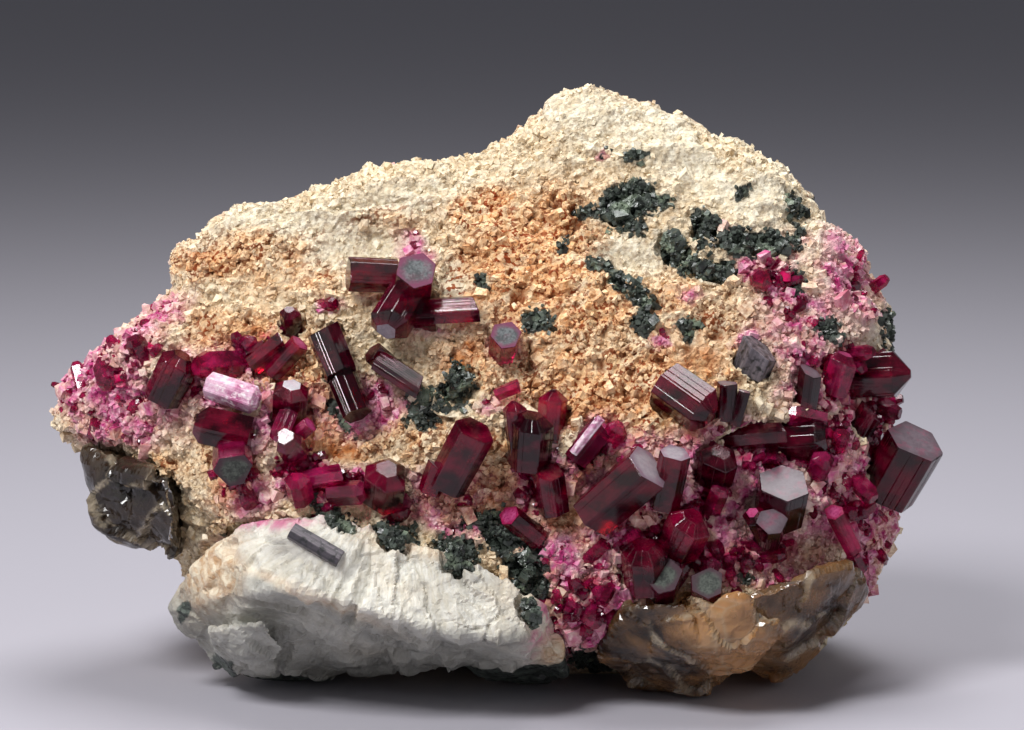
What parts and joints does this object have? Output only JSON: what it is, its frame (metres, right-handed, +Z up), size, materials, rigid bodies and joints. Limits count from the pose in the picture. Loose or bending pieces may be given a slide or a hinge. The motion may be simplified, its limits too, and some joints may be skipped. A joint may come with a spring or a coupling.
{
  "type": "mineral specimen",
  "caption": "Cream feldspar rock with dark red and pink tourmaline (liddicoatite) crystals on its front, and a white feldspar block and smoky quartz along its lower edge.",
  "frame": {"origin": "middle of the whole specimen's outer box, on the flat that it stands on", "axes": "+X to the right along the specimen's width, +Y away from the viewer who faces the crystals, +Z up"},
  "size_m": [0.1478, 0.0844, 0.0971],
  "materials": {
    "cream_feldspar": null,
    "white_feldspar": null,
    "dark_quartz": "nearly opaque dark smoky quartz, glossy where it is broken",
    "amber_quartz": "cloudy amber to brown smoky quartz, glossy where it is broken",
    "red_tourmaline": "glossy dark burgundy crystal, crimson where light comes through",
    "pink_tourmaline": "clear to frosted pink and magenta crystal",
    "grey_tourmaline": "opaque grey to green-black crystal",
    "green_tourmaline": "dark green-black granular masses"
  },
  "bodies": {
    "root": {"tourmaline_upper_group": "red_tourmaline", "tourmaline_upper_stub": "red_tourmaline", "tourmaline_long_blade": "red_tourmaline", "tourmaline_mid_bar": "red_tourmaline", "tourmaline_left_pair": "red_tourmaline", "tourmaline_left_barrel": "red_tourmaline", "tourmaline_far_left": "red_tourmaline", "tourmaline_left_block": "red_tourmaline", "tourmaline_left_rosette": "pink_tourmaline", "tourmaline_frosted_bar": "pink_tourmaline", "tourmaline_low_barrel": "red_tourmaline", "tourmaline_centre_column": "red_tourmaline", "tourmaline_centre_group": "red_tourmaline", "tourmaline_small_upper": "pink_tourmaline", "tourmaline_centre_stem": "red_tourmaline", "tourmaline_striped": "pink_tourmaline", "tourmaline_great_pair": "red_tourmaline", "tourmaline_upper_right": "red_tourmaline", "tourmaline_right_gleam": "red_tourmaline", "tourmaline_right_bar": "red_tourmaline", "tourmaline_right_barrel": "red_tourmaline", "tourmaline_right_slab": "red_tourmaline", "tourmaline_rose": "pink_tourmaline", "tourmaline_right_edge": "red_tourmaline", "tourmaline_right_leaf": "red_tourmaline", "tourmaline_far_right": "red_tourmaline", "tourmaline_grey_group": "red_tourmaline", "tourmaline_lower_right": "red_tourmaline", "tourmaline_lower_mid": "red_tourmaline", "tourmaline_right_needle": "pink_tourmaline", "tourmaline_lower_bar": "red_tourmaline", "tourmaline_crimson_chip": "pink_tourmaline", "tourmaline_right_bead": "pink_tourmaline", "tourmaline_edge_bead": "pink_tourmaline", "tourmaline_magenta_row": "pink_tourmaline", "tourmaline_magenta_low": "pink_tourmaline", "tourmaline_left_chips": "pink_tourmaline", "tourmaline_ring": "pink_tourmaline", "tourmaline_in_block": "grey_tourmaline", "tourmaline_grey_slab": "grey_tourmaline", "tourmaline_green_core_left": "grey_tourmaline", "tourmaline_green_core_right": "grey_tourmaline", "green_lump_upper_left": "green_tourmaline", "green_lump_upper": "green_tourmaline", "green_lump_middle": "green_tourmaline", "green_lump_ridge": "green_tourmaline", "green_lump_low": "green_tourmaline", "green_streak": "green_tourmaline", "green_in_block_right": "green_tourmaline", "green_lump_centre": "green_tourmaline", "green_in_block_left": "green_tourmaline", "green_in_block_middle": "green_tourmaline", "green_band_upper": "green_tourmaline", "green_band_middle": "green_tourmaline", "green_band_low": "green_tourmaline", "white_feldspar_block": "white_feldspar", "smoky_quartz_left": "dark_quartz", "smoky_quartz_right": "amber_quartz", "feldspar_matrix": "cream_feldspar"}
  },
  "joints": []
}
